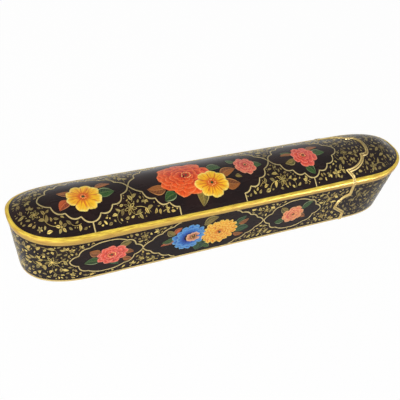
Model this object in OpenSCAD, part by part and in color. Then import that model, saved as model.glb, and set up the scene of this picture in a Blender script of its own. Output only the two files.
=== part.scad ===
// Pen box: a crowned sleeve of papier-mache, and a drawer that slides out of one end.
// The drawer carries the box's other rounded end as its head, and holds an inkwell and reed pens.
// Origin at the middle of the base, +X towards the drawer head, +Z up, millimetres.

/* [Box] */
// Length over the rim
box_l = 250; // [210:1:300]
// Width over the rim
box_w = 44.5; // [40:0.5:56]
// Height from the base to the rim
rim_h = 31; // [28:0.5:40]
// Rise of the crowned top above the rim
crown_h = 10; // [8:0.5:14]
// How far each rounded end reaches in from its tip
end_depth = 35; // [30:0.5:42]
// Fullness of the rounded ends, where 2 is an ellipse
end_full = 2.4; // [2.2:0.1:3]
// How far each end leans in from the rim to the base
end_lean = 6; // [2:0.5:8]
// How far the rim rises towards the tip of each end
end_rise = 3.5; // [0:0.5:5]
// How far each long side leans in from the rim to the base
side_lean = 0.8; // [0:0.1:2]
// Fullness of the crown, where 2 is a parabola
crown_full = 2.1; // [1.9:0.1:2.8]
// Distance from each tip to the end of the crown's ridge
ridge_inset = 18; // [10:0.5:24]

/* [Shell] */
// Thickness of the sleeve's long walls at the base
wall = 2.4; // [1.8:0.1:3]
// Thickness of the sleeve's floor
floor_t = 2.6; // [2:0.1:4]
// Thickness of the sleeve's closed end at the base
end_wall = 4.5; // [4:0.1:7]
// Thickness of the crown over the ridge
crown_wall = 2.6; // [2:0.1:3.4]
// How far the cavity's arch springs below the rim
arch_drop = 2; // [1:0.1:3]
// Width of the ledge on each side, under the arch
arch_ledge = 0.6; // [0.4:0.1:1]
// Room between the drawer and the sleeve, on every side
slide_gap = 0.35; // [0.3:0.05:0.6]

/* [Scalloped joint] */
// Length of the drawer head, from its tip to the joint at the rim
head_l = 46; // [42:0.5:52]
// Reach of the sleeve's middle tongue past the joint at the rim
tongue_l = 18.5; // [17:0.5:21]
// Width of the tongue at its step, as a share of the box's width
tongue_share = 0.37; // [0.3:0.01:0.42]
// Length of the step on each side of the tongue, and of its rounded tip
tongue_step = 3.4; // [2.6:0.1:5]
// Depth of the pointed cusps beside the tongue
cusp_in = 2.8; // [2:0.1:5]
// Distance between the cusps, as a share of the box's width
cusp_share = 0.72; // [0.64:0.01:0.74]
// Width of the straight joint next to the rim, seen from above
rim_land = 2.6; // [1.8:0.1:3]
// Reach of the drawer head's lobe into the side of the sleeve
lobe_l = 8.4; // [5:0.1:11]
// Height of the lower corner of the side lobe
lobe_z = 11.8; // [10:0.1:13]
// Height of the side lobe above that corner
lobe_h = 9.5; // [8:0.1:11]
// Drop of the slanted step under the side lobe
lobe_foot = 5.8; // [4:0.1:8]
// Room between the head and the sleeve along the joint
joint_gap = 0.4; // [0.3:0.05:0.6]

/* [Gilt mouldings] */
// Height of the rim moulding on the wall
rim_low = 2.5; // [2:0.1:4]
// Width of the rim moulding on the crown
rim_up = 1.7; // [1.4:0.1:3]
// How far the rim moulding stands proud
rim_proud = 0.5; // [0.3:0.05:0.8]
// Width of the edging on each side of the joint
edge_w = 0.9; // [0.7:0.1:1.6]
// How far the edging stands proud
edge_proud = 0.6; // [0.5:0.05:1.2]

/* [Drawer] */
// Outside height of the tray
tray_h = 22; // [20:0.5:22.5]
// Thickness of the tray's walls
tray_wall = 1.8; // [1.4:0.1:2.4]
// Thickness of the tray's floor
tray_floor = 2; // [1.4:0.1:3]
// Solid nose of the head past the end of the tray, at the base
head_nose = 21; // [19:0.5:26]
// Room for glue between the tray and the pieces fixed to it
glue_gap = 0.1; // [0.05:0.05:0.2]
// Thickness of the partitions
partition_t = 2; // [1.4:0.1:3]
// How far the partitions stop below the top of the tray
partition_drop = 2; // [1:0.5:4]
// Length of the small well between the inkwell and the head
well_l = 24; // [20:0.5:30]
// Room round the nib-cutting block in that well
block_room = 3; // [1:0.1:5]
// Thickness of the block
block_t = 3.5; // [2.5:0.1:6]
// Width of the block's groove, which holds a reed while its nib is cut
groove_w = 4; // [2:0.1:5]

/* [Inkwell] */
// Height of the pot up to its shoulder
pot_h = 15; // [12:0.5:16]
// Thickness of the pot
pot_wall = 1.6; // [1.2:0.1:2.2]
// Room round the pot
pot_gap = 0.4; // [0.3:0.1:0.8]
// Inside diameter of the pot's collar
collar_bore = 19; // [15:0.5:20]
// Height of the collar above the shoulder
collar_h = 3.6; // [3:0.1:5]
// Room between the pot and its lid
lid_gap = 0.3; // [0.25:0.05:0.5]
// Thickness of the lid
lid_t = 1.5; // [1.2:0.1:2]
// Rise of the lid's dome
lid_dome = 1.6; // [1:0.1:2.2]
// Diameter of the lid's knob
knob_d = 5.4; // [4:0.1:7]
// Height of the knob
knob_h = 3.8; // [3:0.1:4.5]

/* [Pens] */
// Diameter of the broad pen
pen_d = 9; // [8:0.1:9.4]
// Step in diameter from one pen to the next
pen_step = 1; // [0.5:0.1:1.5]
// Step in length from one pen to the next
pen_l_step = 5; // [2:0.5:8]
// Room at each end of the longest pen
pen_room = 1.5; // [1:0.1:4]
// Room between the outer pens and the tray's walls
pen_side = 1; // [0.6:0.1:1.4]
// Height of the pens above the tray's floor
pen_lift = 3; // [2:0.1:4]
// Length of the cut that shapes a nib
nib_l = 16; // [10:0.5:20]
// Width of a nib, as left by its side cuts
nib_w = 2.4; // [1.6:0.1:3.2]
// Diameter of the reed's hollow
reed_bore = 3.4; // [2.4:0.1:4]
// Room between a pen and its notch
notch_gap = 0.2; // [0.1:0.05:0.3]
// Thickness of a pen rest
rest_t = 4; // [3:0.1:6]
// How far a pen rest stands above the underside of the pens
rest_rise = 2.6; // [1.5:0.1:3]
// Distance from each end of the longest pen to the middle of a pen rest
rest_inset = 28; // [22:0.5:40]

/* [Hidden] */
$fn = 64;

lacquer = "#1c1014";
gilt = "#d8b23c";
tray_red = "#6b241c";
brass = "#b08d4a";
reed = "#b98a52";
bone = "#e6dcc2";

far = 2 * box_l;
half_l = box_l / 2;
half_w = box_w / 2;
end_steps = 24;
arc_steps = 6;
crown_stops = [0.17, 0.27, 0.39, 0.53, 0.68, 0.83, 0.96];
ridge_k = crown_stops[len(crown_stops) - 1];

// Cavity of the sleeve, and the tray in it
cavity_half = half_w - side_lean - wall;
cavity_round = cavity_half - (half_l - end_lean - end_wall);
arch_z = rim_h - arch_drop;
arch_half = cavity_half - arch_ledge;
arch_rise = rim_h + crown_h - crown_wall - arch_z;
arch_r = (arch_half * arch_half + arch_rise * arch_rise) / (2 * arch_rise);
tray_half = cavity_half - slide_gap;
tray_z = floor_t + slide_gap;
cavity_top = tray_z + tray_h + slide_gap;
tray_out = half_l - end_lean - head_nose;
in_half = tray_half - tray_wall;
in_z = tray_z + tray_floor;
in_out = tray_out - tray_wall;

// Lower edge of the rim moulding, the joint at the rim, and the overlap of its top and side outlines
low_z = rim_h - rim_low;
joint_x = half_l - head_l;
tongue_half = tongue_share * half_w;
cusp_half = cusp_share * half_w;
split_z = rim_h - rim_low / 2;
split_lap = rim_low / 4;

// Pieces along the tray, from the head inwards
partition_h = tray_h - tray_floor - partition_drop;
well_x = in_out - well_l - partition_t;
pot_r = in_half - pot_gap;
pot_x = well_x - pot_gap - pot_r;
pen_end = pot_x - pot_r - pot_gap - partition_t;
pen_l = pen_end - pen_room - cavity_round;
pen_pitch = in_half - pen_side - pen_d / 2;
collar_r = collar_bore / 2 + pot_wall;
lid_r = collar_r + lid_gap + lid_t;
lid_low = in_z + pot_h + lid_gap;
lid_under = in_z + pot_h + collar_h + lid_gap;
lid_top = lid_under + lid_t + lid_dome;

// One point of the rounded plan: a is half the length, b half the width, d the depth of the end
function corner(a, b, d, t) =
    [a - d + d * pow(abs(cos(t)), 2 / end_full), b * sign(sin(t)) * pow(abs(sin(t)), 2 / end_full)];
function end_curve(a, b, d) = [for (i = [0:end_steps]) corner(a, b, d, -90 + 180 * i / end_steps)];
function plan(a, b, d) = concat(end_curve(a, b, d), -end_curve(a, b, d));

// Points of a plan set at height z, and raised towards the tips of the ends
function end_share(p) = pow(max(0, (abs(p[0]) - half_l + end_depth) / end_depth), end_full);
function lift(points, z, rise) = [for (p = points) [p[0], p[1], z + rise * end_share(p)]];

// Ring of the wall at height z, and of the crown at the share k from the rim to the ridge, g proud
function wall_ring(z, g = 0) = let (lean = 1 - z / rim_h)
    lift(plan(half_l - end_lean * lean + g, half_w - side_lean * lean + g, end_depth + g), z,
         end_rise * min(1, z / low_z));
function crown_z(k, g = 0) = rim_h + (crown_h + g) * (1 - pow(1 - k, crown_full));
function crown_ring(k, g = 0, up = 0) = lift(
    plan(half_l + g - k * (ridge_inset + g), (half_w + g) * (1 - k), (end_depth + g) * (1 - k)),
    crown_z(k, g) + up, end_rise * pow(1 - k / ridge_k, crown_full));

// Skin from each ring to the next, two triangles for each pair of points
// They are split from the lower ring up, so that skins that lie on each other share their edges
function skin(rings, joins) = let (n = len(rings[0])) [for (r = [0:joins - 1]) for (i = [0:n - 1])
    let (s = (r + 1) % len(rings), j = (i + 1) % n,
         from = [r * n + i, r * n + j], to = [s * n + i, s * n + j])
    each rings[s][i][2] < rings[r][i][2]
        ? [[from[0], to[0], from[1]], [to[0], to[1], from[1]]]
        : [[from[0], to[0], to[1]], [from[0], to[1], from[1]]]];
function flat(rings) = [for (r = rings) each r];

// Outer form of the whole closed box, standing g proud
module form(g = 0) {
    rings = concat([wall_ring(0, g), wall_ring(low_z, g), wall_ring(rim_h, g),
                    crown_ring(rim_up / half_w, g)], [for (k = crown_stops) crown_ring(k, g)]);
    n = len(rings[0]);
    last = len(rings) - 1;
    base = [for (i = [0:n - 1]) i];
    ridge = [for (i = [n - 1:-1:0]) last * n + i];
    polyhedron(flat(rings), concat(skin(rings, last), [base, ridge]));
}

// Gilt moulding that goes round the rim, with an arris between its two faces
module rim_ring() {
    k = rim_up / half_w;
    rings = [wall_ring(low_z), wall_ring(low_z, rim_proud), wall_ring(rim_h, rim_proud),
             crown_ring(k, up = rim_proud), crown_ring(k), wall_ring(rim_h)];
    polyhedron(flat(rings), skin(rings, len(rings)));
}

// Half of the joint's outline seen from above, from the tip of the tongue out to the rim
function top_half() = concat(
    [for (i = [0:arc_steps]) let (t = 90 * i / arc_steps)
        [joint_x + tongue_l - tongue_step + tongue_step * cos(t), tongue_half * sin(t)]],
    [for (i = [0:arc_steps]) let (t = 90 - 90 * i / arc_steps)
        [joint_x - cusp_in + (tongue_l - 2 * tongue_step + cusp_in) * sin(t),
         tongue_half + (cusp_half - tongue_half) * cos(t)]],
    [[joint_x, half_w - rim_land], [joint_x, far]]);
function mirrored(line) = [for (i = [len(line) - 1:-1:1]) [line[i][0], -line[i][1]]];
top_line = concat(mirrored(top_half()), top_half());

// The joint's outline seen from the side, from below the base up to the rim moulding
side_line = concat(
    [[joint_x, -far], [joint_x, lobe_z - lobe_foot]],
    [for (i = [0:arc_steps]) let (t = 90 - 90 * i / arc_steps)
        [joint_x - lobe_l * sin(t), lobe_z + lobe_h * cos(t)]],
    [[joint_x, split_z + split_lap]]);

// A line moved sideways by w, towards the head where w is positive; its points stay blunt on the other side
blunt = -0.4;
function right_of(p, q) = let (u = (q - p) / norm(q - p)) [u[1], -u[0]];
function moved(line, w) = let (last = len(line) - 1) [for (i = [0:last])
    let (m0 = right_of(line[max(i - 1, 0)], line[max(i, 1)]),
         m1 = right_of(line[min(i, last - 1)], line[min(i + 1, last)]))
    line[i] + w * (m0 + m1) / (1 + max(m0 * m1, w < 0 ? blunt : -1))];

// Everything on the head's side of the joint, with the joint moved w towards the head
module head_zone(w) {
    translate([0, 0, split_z]) linear_extrude(far)
        polygon(concat(moved(top_line, w), [[far, far], [far, -far]]));
    rotate([90, 0, 0]) linear_extrude(2 * far, center = true)
        polygon(concat(moved(side_line, w), [[far, split_z + split_lap], [far, -far]]));
}

// Outline of the tray from above: half its width, with a round inner end and a square outer one
module tray_plan(half, outer_x) {
    translate([cavity_round, 0]) circle(half);
    translate([cavity_round, -half]) square([outer_x - cavity_round, 2 * half]);
}

// Arched room from the tray up to the crown, as far as outer_x
module arch(outer_x) {
    inner_x = end_depth - half_l;
    translate([inner_x, 0, 0]) rotate([90, 0, 90]) linear_extrude(outer_x - inner_x) intersection() {
        translate([-arch_half, tray_z + tray_floor]) square([2 * arch_half, rim_h + crown_h]);
        translate([0, arch_z + arch_rise - arch_r]) circle(arch_r);
    }
}

module case_shell() {
    color(lacquer) difference() {
        form();
        translate([0, 0, floor_t]) linear_extrude(cavity_top - floor_t) tray_plan(cavity_half, far);
        arch(far);
        head_zone(0);
    }
}

module case_rim_moulding() {
    color(gilt) difference() {
        rim_ring();
        head_zone(-edge_w);
    }
}

module mouth_edging() {
    color(gilt) difference() {
        intersection() {
            form(edge_proud);
            head_zone(-edge_w);
        }
        form();
        head_zone(0);
    }
}

module drawer_tray() {
    color(tray_red) difference() {
        translate([0, 0, tray_z]) linear_extrude(tray_h) tray_plan(tray_half, tray_out);
        translate([0, 0, in_z]) linear_extrude(tray_h) tray_plan(in_half, in_out);
    }
}

module drawer_head() {
    color(lacquer) difference() {
        intersection() {
            form();
            head_zone(joint_gap);
        }
        translate([0, 0, tray_z - glue_gap]) linear_extrude(cavity_top - tray_z + glue_gap)
            tray_plan(tray_half + glue_gap, tray_out + glue_gap);
        arch(tray_out);
    }
}

module head_rim_moulding() {
    color(gilt) intersection() {
        rim_ring();
        head_zone(joint_gap + edge_w);
    }
}

module head_edging() {
    color(gilt) difference() {
        intersection() {
            form(edge_proud);
            head_zone(joint_gap);
        }
        form();
        head_zone(joint_gap + edge_w);
    }
}

// A cross wall of the tray, with its inner face at x
module partition(x) {
    color(tray_red) translate([x, glue_gap - in_half, in_z])
        cube([partition_t, 2 * (in_half - glue_gap), partition_h]);
}

module pen_partition() {
    partition(pen_end);
}

module well_partition() {
    partition(well_x);
}

// The pens lie side by side: number 0 is the broad one, 2 the fine one
function reed_d(i) = pen_d - i * pen_step;
function reed_l(i) = pen_l - i * pen_l_step;
function reed_y(i) = (i - 1) * pen_pitch;
function reed_z(i) = in_z + pen_lift + reed_d(i) / 2;

// A bridge on the tray's floor with a notch for each pen
module pen_rest(x) {
    color(tray_red) difference() {
        translate([x - rest_t / 2, glue_gap - in_half, in_z])
            cube([rest_t, 2 * (in_half - glue_gap), pen_lift + rest_rise]);
        for (i = [0:2]) translate([x - rest_t, reed_y(i), reed_z(i)])
            rotate([0, 90, 0]) cylinder(2 * rest_t, d = reed_d(i) + 2 * notch_gap);
    }
}

module pen_rest_inner() {
    pen_rest(pen_end - pen_room - pen_l + rest_inset);
}

module pen_rest_outer() {
    pen_rest(pen_end - pen_room - rest_inset);
}

// A hollow reed with its nib towards the inkwell: one slanted cut above, and a cut on each side
module reed_pen(i) {
    r = reed_d(i) / 2;
    color(reed) translate([pen_end - pen_room, reed_y(i), reed_z(i)]) mirror([1, 0, 0]) difference() {
        rotate([0, 90, 0]) cylinder(reed_l(i), r = r);
        translate([-1, 0, 0]) rotate([0, 90, 0]) cylinder(reed_l(i) + 2, d = reed_bore);
        rotate([90, 0, 0]) linear_extrude(4 * r, center = true)
            polygon([[-1, -r / 2], [0, -r / 2], [nib_l / 2, 0], [nib_l, r], [nib_l, 2 * r], [-1, 2 * r]]);
        for (side = [-1, 1]) scale([1, side, 1]) linear_extrude(4 * r, center = true)
            polygon([[-1, nib_w / 2], [0, nib_w / 2], [nib_l / 2, r], [nib_l / 2, 2 * r], [-1, 2 * r]]);
    }
}

module reed_pen_broad() {
    reed_pen(0);
}

module reed_pen_medium() {
    reed_pen(1);
}

module reed_pen_fine() {
    reed_pen(2);
}

module inkwell_pot() {
    top = pot_h + collar_h;
    bore_r = collar_bore / 2;
    color(brass) translate([pot_x, 0, in_z]) rotate_extrude() polygon([
        [0, 0], [pot_r, 0], [pot_r, pot_h], [collar_r, pot_h], [collar_r, top], [bore_r, top],
        [bore_r, pot_h - pot_wall], [pot_r - pot_wall, pot_h - pot_wall],
        [pot_r - pot_wall, pot_wall], [0, pot_wall]]);
}

// A cap that drops over the collar, domed up to a flat land for its knob
module inkwell_lid() {
    land = knob_d / 2;
    color(brass) translate([pot_x, 0, 0]) rotate_extrude() polygon(concat(
        [[0, lid_under], [collar_r + lid_gap, lid_under], [collar_r + lid_gap, lid_low], [lid_r, lid_low]],
        [for (i = [0:arc_steps]) let (t = 90 * i / arc_steps)
            [land + (lid_r - land) * cos(t), lid_top - lid_dome * (1 - sin(t))]],
        [[0, lid_top]]));
}

module lid_knob() {
    r = knob_d / 2;
    neck = 0.6 * r;
    color(brass) translate([pot_x, 0, lid_top]) rotate_extrude() polygon(concat(
        [[0, 0], [r, 0], [neck, knob_h / 3]],
        [for (i = [0:arc_steps]) let (t = -45 + 135 * i / arc_steps)
            [r * cos(t), knob_h * (2 + sin(t)) / 3]]));
}

module nib_block() {
    long = well_l - 2 * block_room;
    wide = 2 * (in_half - block_room);
    color(bone) difference() {
        translate([in_out - well_l + block_room, -wide / 2, in_z]) cube([long, wide, block_t]);
        translate([in_out - well_l, 0, in_z + block_t])
            rotate([0, 90, 0]) cylinder(well_l, d = groove_w);
    }
}

case_shell();
case_rim_moulding();
mouth_edging();
drawer_tray();
drawer_head();
head_rim_moulding();
head_edging();
pen_partition();
well_partition();
pen_rest_inner();
pen_rest_outer();
inkwell_pot();
inkwell_lid();
lid_knob();
reed_pen_broad();
reed_pen_medium();
reed_pen_fine();
nib_block();
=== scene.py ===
import math
import random

import bmesh
import bpy
import numpy as np
from mathutils import Matrix, Vector


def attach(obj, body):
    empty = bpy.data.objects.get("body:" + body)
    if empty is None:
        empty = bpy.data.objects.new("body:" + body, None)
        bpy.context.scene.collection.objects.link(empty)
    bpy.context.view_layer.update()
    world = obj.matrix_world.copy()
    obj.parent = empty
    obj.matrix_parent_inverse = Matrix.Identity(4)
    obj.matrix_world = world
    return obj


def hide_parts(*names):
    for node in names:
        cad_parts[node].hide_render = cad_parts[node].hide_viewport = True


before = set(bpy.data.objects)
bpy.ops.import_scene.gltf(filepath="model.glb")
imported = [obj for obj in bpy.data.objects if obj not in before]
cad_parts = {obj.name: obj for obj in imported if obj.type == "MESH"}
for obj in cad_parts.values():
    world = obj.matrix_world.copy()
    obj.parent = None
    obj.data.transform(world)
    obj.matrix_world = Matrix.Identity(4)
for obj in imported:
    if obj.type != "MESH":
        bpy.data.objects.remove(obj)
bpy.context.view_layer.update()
mm = 0.001
scene = bpy.context.scene

# outer form of the closed box, millimetres, as the solids have it
form = {"length": 250.0, "width": 44.5, "rim": 31.0, "crown": 10.0, "endDepth": 35.0, "endFull": 2.4,
        "endLean": 6.0, "sideLean": 0.8, "crownFull": 2.1, "ridgeInset": 18.0, "endRise": 3.5,
        "ridgeShare": 0.96, "rimLow": 28.5}
halfL = form["length"] / 2
halfW = form["width"] / 2
rimZ = form["rim"]
bend = 2 / form["endFull"]
toBack = np.array([1, -1, 1])  # carries a point from the front to the back


def wallSizes(z, proud=0.0):
    lean = 1 - z / rimZ
    return (halfL - form["endLean"] * lean + proud, halfW - form["sideLean"] * lean + proud,
            form["endDepth"] + proud)


def crownSizes(k):
    return halfL - k * form["ridgeInset"], halfW * (1 - k), form["endDepth"] * (1 - k)


def crownHeight(k):
    return rimZ + form["crown"] * (1 - (1 - k) ** form["crownFull"])


def endShare(x):
    # how much of the rise towards the tips a place has
    return np.maximum(0, (np.abs(x) - halfL + form["endDepth"]) / form["endDepth"]) ** form["endFull"]


def wallRaised(x, z):
    return z + form["endRise"] * endShare(x) * np.minimum(1, z / form["rimLow"])


def wallLowered(x, z):
    rise = form["endRise"] * endShare(x)
    low = form["rimLow"]
    return np.where(z < low + rise, z * low / (low + rise), z - rise)


def crownRaised(x, k):
    left = np.maximum(0, 1 - k / form["ridgeShare"]) ** form["crownFull"]
    return crownHeight(k) + form["endRise"] * endShare(x) * left


def endPoints(sizes, angles, side):
    # rounded end of a plan: side is 1 for the head's end and -1 for the closed one
    a, b, d = sizes
    c, s = np.cos(angles), np.sin(angles)
    x = side * (a - d + d * np.abs(c) ** bend)
    return np.stack([x, b * np.sign(s) * np.abs(s) ** bend], 1)


def planRing(sizes, endSteps, sideSteps):
    angles = np.linspace(-np.pi / 2, np.pi / 2, endSteps + 1)
    right = endPoints(sizes, angles, 1)
    left = endPoints(sizes, angles[::-1], -1)
    share = np.linspace(0, 1, sideSteps + 1)[1:-1, None]
    back = right[-1] + share * (left[0] - right[-1])
    front = left[-1] + share * (right[0] - left[-1])
    return np.concatenate([right, back, left, front])


def crownShare(x, y):
    # share of the way from the rim to the ridge, at a point seen from above
    low, high = np.zeros_like(x), np.full_like(x, 0.99999)
    for _ in range(36):
        k = (low + high) / 2
        a, b, d = crownSizes(k)
        u = np.maximum(0, (np.abs(x) - (a - d)) / d)
        inside = u ** form["endFull"] + (np.abs(y) / b) ** form["endFull"] < 1
        low = np.where(inside, k, low)
        high = np.where(inside, high, k)
    return (low + high) / 2


def topHeight(x, y):
    return crownRaised(x, crownShare(x, y))


def unit(v):
    return v / np.linalg.norm(v, axis=1)[:, None]


def runs(line):
    # the way covered at each point of a line
    return np.concatenate([[0], np.cumsum(np.linalg.norm(np.diff(line, axis=0), axis=1))])


def toward(turn):
    return np.array([math.cos(turn), math.sin(turn)])


def topChart(p):
    # a point of the crown and its normal, from its place seen from above
    x, y = p[:, 0], p[:, 1]
    step = 0.04
    dx = (topHeight(x + step, y) - topHeight(x - step, y)) / (2 * step)
    dy = (topHeight(x, y + step) - topHeight(x, y - step)) / (2 * step)
    return np.stack([x, y, topHeight(x, y)], 1), unit(np.stack([-dx, -dy, np.ones_like(x)], 1))


# the wall is unrolled: first coordinate is x along the straight front, then the arc round either end
straightX = halfL - form["endDepth"] - form["endLean"]
arcAngles = np.linspace(np.pi / 2, 0, 500)
arcLine = endPoints(wallSizes(rimZ / 2), arcAngles, 1)
arcRun = runs(arcLine)
tipRun = straightX + form["endLean"] / 2 + arcRun[-1]


def wallPoint(s, z):
    a, b, d = wallSizes(z)
    side = np.sign(s)
    extra = a - d - straightX
    run = (np.abs(s) - straightX) * (extra + arcRun[-1]) / (tipRun - straightX)
    t = np.interp(run - extra, arcRun, arcAngles)
    onArc = run > extra
    beside = np.where(run > 0, straightX + run, np.abs(s))
    x = np.where(onArc, a - d + d * np.abs(np.cos(t)) ** bend, beside)
    y = np.where(onArc, b * np.abs(np.sin(t)) ** bend, b)
    return np.stack([side * x, -y, wallRaised(x, z)], 1)


def wallChart(p):
    s, z = p[:, 0], p[:, 1]
    step = 0.05
    along = wallPoint(s + step, z) - wallPoint(s - step, z)
    upward = wallPoint(s, z + step) - wallPoint(s, z - step)
    return wallPoint(s, z), unit(np.cross(along, upward))


def backWall(p):
    place, normal = wallChart(p)
    return place * toBack, normal * toBack


# colours and shader nodes
def srgb(r, g, b):
    def linear(c):
        c /= 255
        return c / 12.92 if c <= 0.04045 else ((c + 0.055) / 1.055) ** 2.4
    return linear(r), linear(g), linear(b), 1.0


def add(tree, kind, inputs=None, **settings):
    node = tree.nodes.new(kind)
    for key, value in settings.items():
        setattr(node, key, value)
    for key, value in (inputs or {}).items():
        socket = node.inputs[key]
        if isinstance(value, bpy.types.NodeSocket):
            tree.links.new(value, socket)
        else:
            socket.default_value = value
    return node


def blend(tree, factor, a, b, mode="MIX"):
    inputs = {0: factor, 6: a, 7: b}
    return add(tree, "ShaderNodeMix", inputs, data_type="RGBA", blend_type=mode).outputs[2]


def sums(tree, kind, *values):
    return add(tree, "ShaderNodeMath", dict(enumerate(values)), operation=kind).outputs[0]


def greyOf(tree, value):
    return add(tree, "ShaderNodeCombineColor", {0: value, 1: value, 2: value}).outputs[0]


def spread(tree, value, low, high, newLow=0.0, newHigh=1.0):
    node = add(tree, "ShaderNodeMapRange", {0: value, 1: low, 2: high, 3: newLow, 4: newHigh},
               interpolation_type="SMOOTHSTEP")
    return node.outputs[0]


def noise(tree, vector, scale, detail=3.0, rough=0.55):
    inputs = {"Vector": vector, "Scale": scale, "Detail": detail, "Roughness": rough}
    return add(tree, "ShaderNodeTexNoise", inputs).outputs[0]


def stretched(tree, vector, scale):
    return add(tree, "ShaderNodeMapping", {"Vector": vector, "Scale": scale}).outputs[0]


def makeGroup(name, inputs, outputs):
    tree = bpy.data.node_groups.new(name, "ShaderNodeTree")
    for label, kind in inputs.items():
        tree.interface.new_socket(label, in_out="INPUT", socket_type="NodeSocket" + kind)
    for label, kind in outputs.items():
        tree.interface.new_socket(label, in_out="OUTPUT", socket_type="NodeSocket" + kind)
    return tree, add(tree, "NodeGroupInput").outputs, add(tree, "NodeGroupOutput").inputs


def coloursIn(*names):
    return {name: "Color" for name in names}


def fillGroup(tree, group, colours, **others):
    inputs = {key: srgb(*value) for key, value in colours.items()}
    return add(tree, "ShaderNodeGroup", {**inputs, **others}, node_tree=group).outputs


def makeMaterial(name, **settings):
    made = bpy.data.materials.new(name)
    made.use_nodes = True
    shader = made.node_tree.nodes["Principled BSDF"]
    for key, value in settings.items():
        shader.inputs[key].default_value = value
    return made, made.node_tree, shader


def dressed(tree, shader, colour, roughness, height, strength, depth):
    # what changes over the surface of a finish
    bump = add(tree, "ShaderNodeBump", {"Height": height, "Strength": strength, "Distance": depth})
    tree.links.new(colour, shader.inputs["Base Color"])
    tree.links.new(roughness, shader.inputs["Roughness"])
    tree.links.new(bump.outputs[0], shader.inputs["Normal"])


def objectPlace(tree):
    return add(tree, "ShaderNodeTexCoord").outputs["Object"]


# groups that several finishes share
surfaceOut = {"Color": "Color", "Roughness": "Float", "Height": "Float"}


def lacquerGroup():
    tree, given, out = makeGroup("lacquerGround", coloursIn("Dark", "Warm", "Speck"), surfaceOut)
    place = objectPlace(tree)
    cloud = spread(tree, noise(tree, place, 70, 4), 0.35, 0.7)
    ground = blend(tree, cloud, given["Dark"], given["Warm"])
    dust = spread(tree, noise(tree, place, 2600, 2), 0.66, 0.76, 0, 0.35)
    tree.links.new(blend(tree, dust, ground, given["Speck"]), out["Color"])
    polish = noise(tree, stretched(tree, place, (0.25, 1, 1)), 160, 5, 0.65)
    tree.links.new(spread(tree, polish, 0.3, 0.75, 0.2, 0.36), out["Roughness"])
    tree.links.new(sums(tree, "ADD", noise(tree, place, 420, 2), polish), out["Height"])
    return tree


def gildingGroup():
    given = dict(Vector="Vector", **coloursIn("Bright", "Deep", "Rub"))
    tree, given, out = makeGroup("gilding", given, surfaceOut)
    streak = noise(tree, given["Vector"], 1, 5, 0.6)
    leaf = blend(tree, spread(tree, streak, 0.36, 0.62), given["Deep"], given["Bright"])
    wornAndShaded = noise(tree, given["Vector"], 2.7, 4, 0.7)
    tree.links.new(blend(tree, spread(tree, wornAndShaded, 0.6, 0.74, 0, 0.55), leaf, given["Rub"]), out["Color"])
    tree.links.new(spread(tree, wornAndShaded, 0.3, 0.75, 0.26, 0.46), out["Roughness"])
    tree.links.new(sums(tree, "ADD", streak, wornAndShaded), out["Height"])
    return tree


def brushMark(tree):
    # what each painted mark carries: along it, across it, tone and a number of its own
    mark = add(tree, "ShaderNodeAttribute", attribute_name="brush")
    parts = add(tree, "ShaderNodeSeparateColor", {0: mark.outputs["Color"]}).outputs
    across = sums(tree, "ABSOLUTE", sums(tree, "MULTIPLY_ADD", parts[1], 2.0, -1.0))
    return parts[0], parts[1], across, parts[2], mark.outputs["Alpha"]


def strokeNoise(tree, along, side, own, reach, fine):
    u = sums(tree, "MULTIPLY_ADD", along, reach, sums(tree, "MULTIPLY", own, 37.0))
    v = sums(tree, "MULTIPLY", side, fine)
    w = sums(tree, "MULTIPLY", own, 11.0)
    vector = add(tree, "ShaderNodeCombineXYZ", {0: u, 1: v, 2: w}).outputs[0]
    return noise(tree, vector, 1, 3, 0.6)


def petalGroup():
    given = dict(coloursIn("Heart", "Body", "Second", "Tip", "Streak", "Rim"), Streaks="Float")
    tree, given, out = makeGroup("petalPaint", given, coloursIn("Color"))
    along, side, across, tone, own = brushMark(tree)
    body = blend(tree, tone, given["Body"], given["Second"])
    inner = blend(tree, spread(tree, along, 0.12, 0.5), given["Heart"], body)
    outer = blend(tree, spread(tree, along, 0.5, 0.95), inner, given["Tip"])
    lines = spread(tree, strokeNoise(tree, along, side, own, 1.3, 9.0), 0.5, 0.62)
    fade = sums(tree, "MULTIPLY", spread(tree, along, 0.45, 0.95, 1, 0.12), given["Streaks"])
    streaked = blend(tree, sums(tree, "MULTIPLY", lines, fade), outer, given["Streak"])
    edge = spread(tree, along, 0.82, 0.97, 0, 0.9)
    ragged = spread(tree, strokeNoise(tree, along, side, own, 6.0, 5.0), 0.36, 0.6)
    tipped = blend(tree, sums(tree, "MULTIPLY", edge, ragged), streaked, given["Rim"])
    rimmed = blend(tree, spread(tree, across, 0.74, 0.98, 0, 0.85), tipped, given["Streak"])
    shade = spread(tree, strokeNoise(tree, along, side, own, 2.5, 16.0), 0.25, 0.75, 0.8, 1.12)
    tree.links.new(blend(tree, 1.0, rimmed, greyOf(tree, shade), "MULTIPLY"), out["Color"])
    return tree


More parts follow.
